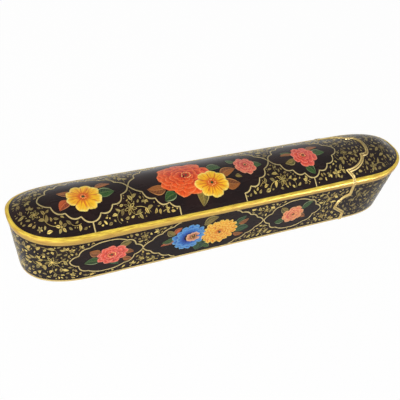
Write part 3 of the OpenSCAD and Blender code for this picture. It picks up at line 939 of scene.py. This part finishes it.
# painted leaves: finish, foot, tip, width and bow to the left
leafLift = {"first": 0.07, "step": 0.004, "levels": 9}
topLeaves = [
    ("brown", (-92.0, 2.6), (-99.3, 3.6), 3.9, 0.1), ("russet", (-94.0, -3.2), (-100.9, -7.9), 5.2, -0.12),
    ("brown", (-79.0, 3.4), (-70.2, 4.4), 3.3, 0.1), ("green", (-79.5, -1.9), (-70.1, -1.9), 6.8, 0.06),
    ("brown", (-42.0, -6.2), (-52.3, -5.2), 6.4, 0.08), ("green", (-37.5, -10.4), (-44.9, -13.2), 5.4, -0.1),
    ("olive", (-22.6, -9.4), (-23.9, -19.0), 6.8, 0.08), ("brown", (-7.6, -5.4), (3.2, -1.4), 6.0, 0.12),
    ("brown", (-7.6, -8.6), (2.0, -11.6), 6.4, -0.1), ("green", (-13.0, 3.3), (-4.6, 1.5), 5.2, 0.1),
    ("olive", (1.2, -6.6), (4.8, -7.8), 2.4, 0.1), ("green", (14.5, -1.3), (20.9, -2.0), 4.2, 0.1),
    ("green", (5.5, 4.0), (1.5, 7.4), 3.2, 0.1), ("green", (44.5, 3.0), (37.7, 4.2), 3.2, 0.1),
    ("brown", (44.5, 1.5), (36.2, 1.8), 2.4, -0.08), ("olive", (43.5, -2.6), (36.2, -4.8), 4.3, 0.14),
    ("green", (57.0, -1.0), (66.4, -1.4), 5.4, 0.1), ("brown", (55.5, 3.3), (64.8, 4.5), 3.3, 0.1),
    ("green", (48.5, -8.6), (53.0, -14.2), 5.4, 0.1)]
wallLeaves = [
    ("brown", (-83.0, 18.1), (-89.0, 20.7), 5.2, 0.1), ("green", (-83.0, 12.1), (-91.4, 12.6), 5.2, -0.1),
    ("olive", (-72.5, 20.0), (-66.1, 21.6), 4.2, 0.1), ("brown", (-69.5, 14.7), (-64.1, 13.9), 3.2, 0.1),
    ("brown", (-70.0, 10.9), (-64.6, 8.8), 3.2, -0.1), ("fern", (-77.5, 9.6), (-72.1, 6.8), 3.2, 0.1),
    ("russet", (-41.0, 20.0), (-36.8, 24.0), 3.4, 0.1), ("olive", (-40.5, 19.3), (-45.3, 23.8), 3.8, 0.1),
    ("green", (-40.5, 16.7), (-47.6, 14.9), 3.6, 0.1), ("russet", (-40.0, 13.8), (-48.0, 12.5), 3.2, -0.1),
    ("fern", (-23.0, 11.0), (-25.2, 3.1), 8.2, 0.06), ("green", (-21.5, 6.6), (-16.7, 3.0), 3.3, 0.1),
    ("olive", (-23.0, 22.2), (-14.6, 26.3), 5.2, 0.14), ("fern", (-2.0, 15.6), (4.3, 22.2), 4.3, 0.1),
    ("brown", (0.3, 17.0), (6.4, 19.7), 3.2, -0.1), ("fern", (-1.5, 12.0), (7.8, 12.8), 5.2, 0.1),
    ("brown", (-2.0, 9.8), (4.9, 8.5), 2.8, -0.1), ("olive", (33.8, 18.4), (28.6, 22.3), 4.2, 0.1),
    ("green", (44.3, 18.0), (51.0, 22.4), 4.2, 0.1), ("brown", (43.2, 12.3), (48.5, 10.3), 3.2, 0.1),
    ("green", (33.0, 12.2), (26.6, 10.9), 4.2, 0.1)]
for chart, leaves in (("top", topLeaves), ("wall", wallLeaves)):
    for number, (finish, foot, tip, width, bow) in enumerate(leaves):
        lift = leafLift["first"] + leafLift["step"] * (number % leafLift["levels"])
        grid = leafGrid(foot, tip, width, bow, (13, 9))
        layGrid((finish, "case"), chart, grid, lift, hand.random(), hand.random())
for flower in flowers:
    layFlower(**flower)

# gold cartouches: a quarter of each outline as cusps from its centre, and how far each lobe swells
outlines = {
    "endTop": dict(chart="top", cusps=[(24.2, 0), (18.7, 5.0), (12.5, 9.8), (5.2, 12.8), (0, 16.1)],
                   swell=(1.2, 2.1, 1.9, 1.0), tick=(0, 20.7)),
    "middleTop": dict(chart="top", cusps=[(44.1, 0), (38.2, 5.7), (32.6, 10.7), (25.4, 14.1), (20.4, 16.9)],
                      swell=(0.9, 1.9, 2.2, 0.9), tick=(20.6, 20.6)),
    "endSide": dict(chart="wall", cusps=[(20.3, 0), (15.6, 3.9), (10.2, 8.6), (0, 11.2)],
                    swell=(0.9, 1.6, 0.9)),
    "middleSide": dict(chart="wall", cusps=[(38.25, 0), (33.2, 4.0), (27.8, 7.4), (21.3, 10.8), (17.3, 13.2)],
                       swell=(0.7, 1.0, 1.1, 0.5)),
}
cartouches = [("endTop", -86.2, 0.0), ("endTop", 51.1, 0.0), ("middleTop", -17.5, 0.0),
              ("endSide", -79.0, 15.2), ("endSide", 38.3, 15.2), ("middleSide", -20.75, 15.1)]
goldLine = {"width": 0.62, "lift": 0.09, "ends": 0.82, "swell": 0.25}


def lobeLine(p, q, swell, steps=10):
    t = np.linspace(0, 1, steps)[:, None]
    run = np.subtract(q, p)
    out = np.array([run[1], -run[0]]) / np.linalg.norm(run)
    return np.array(p) + t * run + 4 * swell * t * (1 - t) * out


def quarterLines(shape):
    cusps = outlines[shape]["cusps"]
    lines = [lobeLine(p, q, s) for p, q, s in zip(cusps, cusps[1:], outlines[shape]["swell"])]
    if "tick" in outlines[shape]:
        lines.append(lobeLine(cusps[-1], outlines[shape]["tick"], 0.0, 4))
    return lines


for shape, x, y in cartouches:
    for line in quarterLines(shape):
        for flip in ((1, 1), (-1, 1), (1, -1), (-1, -1)):
            if abs(line[:, 0]).max() < 0.01 and flip[0] < 0:
                continue
            swell = goldLine["swell"] * np.sin(np.linspace(0, np.pi, len(line)))
            widths = goldLine["width"] * (goldLine["ends"] + swell)
            chart = outlines[shape]["chart"]
            place = line * flip + [x, y]
            # the gold lines are painted duller towards the crown's ridge: painted shade
            layStroke(("lineGold", "case"), chart, place, widths, goldLine["lift"], ridgeShadeShare(chart, place))
print("flowers, leaves and cartouches laid")

# gold sprays: stems with leaves grown from the blossoms until the free ground is full
cell = 0.2
fullTurn = 6.28
leafSize = {"long": (2.6, 3.9), "end": (2.0, 3.0), "small": (1.9, 2.9), "wide": 0.5, "stem": 0.28}
sprayGaps = {"top": 0.66, "wall": 0.55, "headMore": 0.55}  # the head is painted more thinly
sprayField = {"margin": 4, "fromLine": 1.1, "fromTick": 1.0, "tickReach": 6, "fromSeam": 1.0, "seamStep": 0.4,
              "fromRim": 0.145}
sprayTries = {"stems": 260, "sprigs": 500, "leaves": ((900, 1.0), (900, 0.7)), "dots": 50}


def makeField(low, high):
    margin = sprayField["margin"]
    xs = np.arange(low[0] - margin, high[0] + margin, cell)
    ys = np.arange(low[1] - margin, high[1] + margin, cell)
    x, y = np.meshgrid(xs, ys, indexing="ij")
    inside = (x > low[0]) & (x < high[0]) & (y > low[1]) & (y < high[1])
    return {"x": x, "y": y, "low": np.array([xs[0], ys[0]]), "free": inside}


def keepClear(field, chart):
    for shape, cx, cy in cartouches:
        if outlines[shape]["chart"] != chart:
            continue
        dx, dy = abs(field["x"] - cx), abs(field["y"] - cy)
        edge = np.concatenate(quarterLines(shape))
        angle = np.arctan2(edge[:, 1], edge[:, 0])
        order = np.argsort(angle)
        away = np.interp(np.arctan2(dy, dx), angle[order], np.hypot(*edge.T)[order], right=far)
        field["free"] &= np.hypot(dx, dy) > away + sprayField["fromLine"]
        if "tick" in outlines[shape]:
            tickX, tickY = outlines[shape]["tick"]
            short = dy < tickY - sprayField["tickReach"]
            field["free"] &= (abs(dx - tickX) > sprayField["fromTick"]) | short


def keepSide(field, line, head):
    # only the sleeve's or the head's side of the joint, clear of its gilt edging
    line = denser(line, sprayField["seamStep"])
    near = np.full(field["x"].shape, far)
    for px, py in line:
        near = np.minimum(near, np.hypot(field["x"] - px, field["y"] - py))
    order = np.argsort(line[:, 1], kind="stable")
    past = field["x"] - np.interp(field["y"], line[order, 1], line[order, 0])
    field["free"] &= (near > joint["edge"] + sprayField["fromSeam"]) & ((past > 0) == head)


def cells(field, points):
    return np.rint((np.atleast_2d(points) - field["low"]) / cell).astype(int)


def isFree(field, points):
    at = cells(field, points)
    within = (at >= 0).all() and (at < field["free"].shape).all()
    return bool(within and field["free"][at[:, 0], at[:, 1]].all())


def take(field, points, radius):
    reach = max(1, int(round(radius / cell)))
    span = np.arange(-reach, reach + 1)
    keep = span[:, None] ** 2 + span[None, :] ** 2 > reach ** 2
    for i, j in cells(field, points):
        field["free"][i - reach:i + reach + 1, j - reach:j + reach + 1] &= keep


def placeLeaf(field, marks, foot, heading, length, rng):
    tip = foot + length * toward(heading)
    bow = rng.uniform(-0.14, 0.14)
    width = length * leafSize["wide"] * rng.uniform(0.85, 1.1)
    grid = leafGrid(foot, tip, width, bow, (6, 3))
    if not isFree(field, grid[2:].reshape(-1, 2)):
        return
    take(field, grid[1:, 1], width / 2 + field["gap"])
    take(field, grid[-1:, 1], field["gap"])
    marks.append(("leaf", grid))


def growStem(field, marks, start, heading, curl, length, rng):
    # a curling stem with leaves on both sides; one that finds room for too few of them is left out
    step = 0.45
    before, first = field["free"].copy(), len(marks)
    line, headings, run = [np.array(start)], [heading], 0.0
    while run < length:
        heading += curl * step * (0.1 + 0.035 * run)
        ahead = line[-1] + step * toward(heading)
        if run > 1.0 and not isFree(field, ahead):
            break
        line.append(ahead)
        headings.append(heading)
        run += step
    if len(line) < 6 or not isFree(field, line[3:]):
        return []
    line = np.array(line)
    branches = []
    side = 1
    for i in range(2, len(line), 3):
        turn = side * rng.uniform(0.6, 1.1)
        if rng.random() < 0.35:
            turnBack = -side * rng.uniform(0.6, 1.5)
            branches.append((line[i], headings[i] + turn, turnBack, rng.uniform(3.5, 7.0)))
        else:
            placeLeaf(field, marks, line[i], headings[i] + turn, rng.uniform(*leafSize["long"]), rng)
        side = -side
    placeLeaf(field, marks, line[-1], headings[-1], rng.uniform(*leafSize["end"]), rng)
    if len(marks) - first < 2:
        field["free"] = before
        del marks[first:]
        return []
    take(field, line, leafSize["stem"] / 2 + field["gap"])
    marks.append(("stem", line))
    return branches


def placeSprig(field, marks, foot, heading, length, rng):
    # a bent stalk with three leaves at its end, where all of it finds room
    curl = rng.choice((-1, 1)) * rng.uniform(0.25, 0.6)
    turns = heading + curl * np.linspace(-1, 0, 7)
    steps = 0.36 * np.stack([np.cos(turns), np.sin(turns)], 1)
    stalk = foot + np.cumsum(steps, 0) - steps.sum(0)
    grids = []
    for swing in (-1.0, 0.0, 1.0):
        way = toward(heading + swing * rng.uniform(0.85, 1.1))
        near, tip = foot + 0.25 * way, foot + length * way
        grids.append(leafGrid(near, tip, length * leafSize["wide"], 0.08 * swing, (6, 3)))
    if not isFree(field, np.concatenate([stalk] + [grid.reshape(-1, 2) for grid in grids])):
        return
    for grid in grids:
        take(field, grid[1:, 1], length * leafSize["wide"] / 2 + field["gap"])
        marks.append(("leaf", grid))
    take(field, stalk, leafSize["stem"] / 2 + field["gap"])
    marks.append(("stem", stalk))


def freeSpots(field, tries, rng):
    for _ in range(tries):
        spots = np.argwhere(field["free"])
        if len(spots):
            yield field["low"] + cell * spots[rng.randrange(len(spots))]


def growSprays(field, seeds, rng):
    marks = []
    for x, y, radius, arms, first in seeds:
        take(field, [(x, y)], radius + 0.3)
    waiting = []
    for x, y, radius, arms, first in seeds:
        for i in range(arms):
            turn = math.radians(first) + 2 * math.pi * i / arms
            foot = np.array([x, y]) + radius * toward(turn)
            waiting.append((foot, turn, (1 if i % 2 else -1) * rng.uniform(0.5, 1.1), rng.uniform(7, 12)))
    while waiting:
        waiting += growStem(field, marks, *waiting.pop(0), rng)
    for foot in freeSpots(field, sprayTries["stems"], rng):
        heading = rng.uniform(0, fullTurn)
        curl = rng.choice((-1, 1)) * rng.uniform(0.6, 1.25)
        waiting = [(foot, heading, curl, rng.uniform(3.5, 7))]
        while waiting:
            waiting += growStem(field, marks, *waiting.pop(0), rng)
    for foot in freeSpots(field, sprayTries["sprigs"], rng):
        placeSprig(field, marks, foot, rng.uniform(0, fullTurn), rng.uniform(2.1, 2.8), rng)
    for tries, share in sprayTries["leaves"]:
        for foot in freeSpots(field, tries, rng):
            heading = rng.uniform(0, fullTurn)
            placeLeaf(field, marks, foot, heading, share * rng.uniform(*leafSize["small"]), rng)
    for foot in freeSpots(field, sprayTries["dots"], rng):
        take(field, [foot], 1.2)
        marks.append(("dot", foot, rng.uniform(0.24, 0.36)))
    return marks


headShade = 0.35  # the head's gold marks are painted duller: painted shade, as the head lies away from the light


def layMarks(marks, chart, body, mirror):
    key = ("sprayGold", body)
    for flip in ((1, 1), (1, -1))[:2 if mirror else 1]:
        for number, mark in enumerate(marks):
            # each mark's own number holds its random tone, with painted shade towards the ridge and on the
            # head
            own = (number * 0.37) % 1 * ridgeShadeShare(chart, np.atleast_2d(mark[1]))
            own *= headShade if body == "drawer" else 1.0
            if mark[0] == "leaf":
                layGrid(key, chart, mark[1] * flip, 0.06, (0.2, 0.7, 1.0)[number % 3], own)
            elif mark[0] == "stem":
                taper = np.linspace(1.0, 0.55, len(mark[1])) * leafSize["stem"]
                layStroke(key, chart, mark[1] * flip, taper, 0.05, own)
            else:
                layDisc(key, chart, mark[1] * flip, (mark[2], mark[2]), 0.06, own, 7)


def blossom(x, y, radius, petals, first, outlined):
    # a gold flower: solid petals, or petals in outline
    marks = []
    for i in range(petals):
        way = toward(math.radians(first) + 2 * math.pi * i / petals)
        foot, tip = np.array([x, y]) + 0.22 * radius * way, np.array([x, y]) + radius * way
        grid = leafGrid(foot, tip, radius * 2.3 / petals, 0.0, (8, 3))
        if outlined:
            loop = np.concatenate([grid[:, 0], grid[::-1, 2]])
            marks.append(("stem", np.concatenate([loop, loop[:1]])))
        else:
            marks.append(("leaf", grid))
    marks.append(("dot", np.array([x, y]), 0.2 * radius))
    return marks


# blossoms: place, radius, petals, first angle, outlined or not, stems and their first angle
topBlossoms = [(-102.2, -15.6, 3.0, 5, 90, False, 5, 20), (-65.0, -13.2, 3.4, 7, 90, True, 6, 0),
               (-113.5, -6.5, 2.4, 6, 0, True, 4, 40), (-112.6, -14.0, 1.5, 5, 30, False, 3, 0),
               (29.6, -14.0, 3.4, 7, 90, True, 6, 0), (67.7, -16.3, 2.8, 5, 90, False, 5, 20),
               (79.5, -4.5, 2.2, 6, 0, True, 4, 60)]
headTopBlossoms = [(96.4, -16.5, 2.8, 5, 90, False, 5, 20), (109.0, -5.5, 2.4, 6, 0, True, 5, 30)]
wallBlossoms = [(-108.0, 15.6, 4.0, 9, 0, True, 7, 10), (-59.0, 23.6, 1.9, 5, 90, True, 4, 0),
                (-59.0, 6.6, 1.9, 5, -90, True, 4, 0), (17.5, 23.6, 1.9, 5, 90, True, 4, 0),
                (17.5, 6.6, 1.9, 5, -90, True, 4, 0), (63.5, 20.5, 2.2, 6, 0, True, 4, 30),
                (62.5, 7.0, 2.2, 6, 0, True, 4, 30), (-98.0, 24.0, 1.8, 5, 90, False, 3, 30),
                (-97.5, 5.5, 1.8, 5, 90, False, 3, 30)]
headWallBlossoms = [(87.0, 19.0, 2.6, 6, 30, True, 5, 0), (102.0, 14.0, 3.0, 7, 0, True, 6, 0),
                    (88.5, 7.5, 2.0, 5, 90, False, 4, 0)]


def laySprays(chart, head, blossoms, low, high, line, seed):
    field = makeField(low, high)
    field["gap"] = sprayGaps[chart] + (sprayGaps["headMore"] if head else 0.0)
    if chart == "top":
        field["free"] &= crownShare(field["x"], field["y"]) > sprayField["fromRim"]
    keepClear(field, chart)
    keepSide(field, line, head)
    rng = random.Random(seed)
    marks = growSprays(field, [(x, y, r, arms, turn) for x, y, r, _, _, _, arms, turn in blossoms], rng)
    for x, y, radius, petals, first, outlined, _, _ in blossoms:
        marks += blossom(x, y, radius, petals, first, outlined)
    layMarks(marks, chart, "drawer" if head else "case", chart == "top")
    return len(marks)


topLine = topJoint(halfW)
wallLine = sideJoint(0, rimZ)
wallEnd = tipRun - 0.5
counts = [laySprays("top", False, topBlossoms, (-124, -21), (100, -0.5), topLine, 11),
          laySprays("top", True, headTopBlossoms, (75, -21), (124, -0.5), topLine, 12),
          laySprays("wall", False, wallBlossoms, (-wallEnd, 2.0), (80, 27.4), wallLine, 13),
          laySprays("wall", True, headWallBlossoms, (68, 2.0), (wallEnd, 27.4), wallLine, 14)]
print("gold marks in the sprays:", counts)


def finishPaint(finish, body, parts):
    points, faces, brush, first = [], [], [], 0
    for side, part in parts.items():
        place, normal = charts[side](np.concatenate(part["flat"]))
        points.append(place + normal * np.concatenate(part["lift"])[:, None])
        brush.append(np.concatenate(part["brush"]))
        faces += [[first + i for i in face] for face in part["faces"]]
        first += part["count"]
    gold = {"lineGold": lineGold, "sprayGold": sprayGold}
    name = finish + ("Head" if body == "drawer" else "") + "Paint"
    made = makeObject(name, np.concatenate(points), faces, gold.get(finish) or finishes[finish])
    giveBrush(made.data, np.concatenate(brush))
    outward(made.data)
    softened(made.data, 35)
    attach(made, body)


for (finish, body), parts in paints.items():
    finishPaint(finish, body, parts)
print("painted pieces:", len(paints))


# what the drawer holds
def fibreFinish(name, light, dark, scale, **settings):
    made, tree, shader = makeMaterial(name, **settings)
    place = objectPlace(tree)
    fibre = noise(tree, stretched(tree, place, scale), 1, 5, 0.65)
    cloud = noise(tree, place, 60, 3)
    both = sums(tree, "ADD", sums(tree, "MULTIPLY", fibre, 0.7), sums(tree, "MULTIPLY", cloud, 0.3))
    colour = blend(tree, spread(tree, both, 0.34, 0.64), srgb(*dark), srgb(*light))
    dressed(tree, shader, colour, spread(tree, fibre, 0.3, 0.7, 0.36, 0.6), fibre, 0.25, 0.0002)
    return made


inkwellBrass = goldFinish("inkwellBrass", (226, 184, 104), (176, 132, 68), (110, 80, 44), None,
                          Metallic=0.75)
reedFinish = fibreFinish("reed", (198, 150, 92), (128, 84, 44), (30, 1500, 1500), **{"Coat Weight": 0.15})
boneFinish = fibreFinish("bone", (236, 226, 202), (206, 188, 152), (120, 900, 400), **{"Coat Weight": 0.1})
# each piece's finish and the width of its worn edges
inside = {"drawer_tray": (trayLacquer, 0.35), "pen_partition": (trayLacquer, 0.3),
          "well_partition": (trayLacquer, 0.3), "pen_rest_inner": (trayLacquer, 0.25),
          "pen_rest_outer": (trayLacquer, 0.25), "inkwell_pot": (inkwellBrass, 0.3),
          "inkwell_lid": (inkwellBrass, 0.25), "lid_knob": (inkwellBrass, 0.15),
          "reed_pen_broad": (reedFinish, 0.12), "reed_pen_medium": (reedFinish, 0.12),
          "reed_pen_fine": (reedFinish, 0.12), "nib_block": (boneFinish, 0.4)}
wornEdge = {"segments": 2, "sharperThan": 35}
for node, (finish, wearAndShade) in inside.items():
    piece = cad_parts[node]
    piece.data.materials.clear()
    piece.data.materials.append(finish)
    edge = piece.modifiers.new("worn edges", "BEVEL")
    edge.width = wearAndShade * mm
    edge.segments = wornEdge["segments"]
    edge.limit_method = "ANGLE"
    edge.angle_limit = math.radians(wornEdge["sharperThan"])
print("drawer finished")


# floor, light and camera
studio = {"floorSize": 12.0, "floorGrey": 0.86, "floorGlow": 0.97, "world": 0.26, "zenith": 0.03,
          "fade": (0.05, 0.85), "aim": (0, 0, 0.02),
          "lamps": [("key", (-0.5, -0.6, 0.75), (0.8, 0.8), 10.7, (1.0, 0.98, 0.95), False),
                    ("fill", (0.9, -0.5, 0.7), (0.8, 0.8), 1.0, (0.97, 0.98, 1.0), False),
                    ("rear", (0.1, 0.9, 0.8), (0.9, 0.9), 1.8, (1.0, 1.0, 1.0), False),
                    ("lowRight", (0.58, -0.64, 0.28), (0.1, 0.26), 5.0, (1.0, 1.0, 1.0), True),
                    ("lowLeft", (-0.62, -0.62, 0.28), (0.55, 0.2), 14.0, (1.0, 1.0, 1.0), True)]}


def lightWays(tree):
    # rays that find the studio white: straight ones, mirrored ones and ones through glass
    path = add(tree, "ShaderNodeLightPath").outputs
    seen = sums(tree, "MAXIMUM", path["Is Camera Ray"], path["Is Glossy Ray"])
    return sums(tree, "MAXIMUM", seen, path["Is Transmission Ray"])


def buildFloor():
    half = studio["floorSize"] / 2 / mm
    corners = [(-half, -half, 0), (half, -half, 0), (half, half, 0), (-half, half, 0)]
    paper = bpy.data.materials.new("floorPaper")
    paper.use_nodes = True
    tree = paper.node_tree
    tree.nodes.clear()
    matt = add(tree, "ShaderNodeBsdfDiffuse", {"Color": (*[studio["floorGrey"]] * 3, 1)})
    glow = add(tree, "ShaderNodeEmission", {"Color": (1, 1, 1, 1), "Strength": 1.0})
    share = sums(tree, "MULTIPLY", lightWays(tree), studio["floorGlow"])
    both = add(tree, "ShaderNodeMixShader", {0: share, 1: matt.outputs[0], 2: glow.outputs[0]})
    add(tree, "ShaderNodeOutputMaterial", {"Surface": both.outputs[0]})
    made = makeObject("floor", corners, [[0, 1, 2, 3]], paper)


def buildWorld():
    world = bpy.data.worlds.new("studio")
    scene.world = world
    world.use_nodes = True
    tree = world.node_tree
    tree.nodes.clear()
    way = add(tree, "ShaderNodeTexCoord").outputs["Generated"]
    height = add(tree, "ShaderNodeSeparateXYZ", {0: way}).outputs[2]
    soft = spread(tree, height, *studio["fade"], studio["world"], studio["zenith"])
    colour = blend(tree, lightWays(tree), greyOf(tree, soft), (1, 1, 1, 1))
    sky = add(tree, "ShaderNodeBackground", {"Color": colour, "Strength": 1.0})
    add(tree, "ShaderNodeOutputWorld", {"Surface": sky.outputs[0]})


def buildLamps():
    for name, place, size, power, tint, mirrored in studio["lamps"]:
        lamp = bpy.data.lights.new(name, "AREA")
        lamp.shape = "ELLIPSE"
        lamp.size, lamp.size_y = size
        lamp.energy = power
        lamp.color = tint
        made = bpy.data.objects.new(name, lamp)
        scene.collection.objects.link(made)
        made.location = place
        made.visible_glossy = mirrored
        made.visible_diffuse = not mirrored
        aim = Vector(studio["aim"]) - Vector(place)
        made.rotation_euler = aim.to_track_quat("-Z", "Y").to_euler()


# the photograph's own angle: degrees and millimetres
photoView = {"azimuth": -34.16, "elevation": 40.03, "roll": 12.24, "distance": 394.37,
             "target": (-11.6, 4.25, 15.57), "lens": 60.09, "sensor": 36.0}


def buildCamera():
    turn, rise, roll = (math.radians(photoView[k]) for k in ("azimuth", "elevation", "roll"))
    back = Vector((math.sin(turn) * math.cos(rise), -math.cos(turn) * math.cos(rise), math.sin(rise)))
    right = (-back).cross(Vector((0, 0, 1))).normalized()
    up = right.cross(-back)
    across = right * math.cos(roll) + up * math.sin(roll)
    upward = up * math.cos(roll) - right * math.sin(roll)
    lens = bpy.data.cameras.new("photoCamera")
    lens.lens = photoView["lens"]
    lens.sensor_width = photoView["sensor"]
    lens.clip_start = 0.01
    made = bpy.data.objects.new("photoCamera", lens)
    scene.collection.objects.link(made)
    turned = Matrix((across, upward, back)).transposed().to_4x4()
    spot = (Vector(photoView["target"]) + back * photoView["distance"]) * mm
    made.matrix_world = Matrix.Translation(spot) @ turned
    scene.camera = made


buildFloor()
buildWorld()
buildLamps()
buildCamera()
scene.view_settings.view_transform = "Standard"
print("stage and camera set")
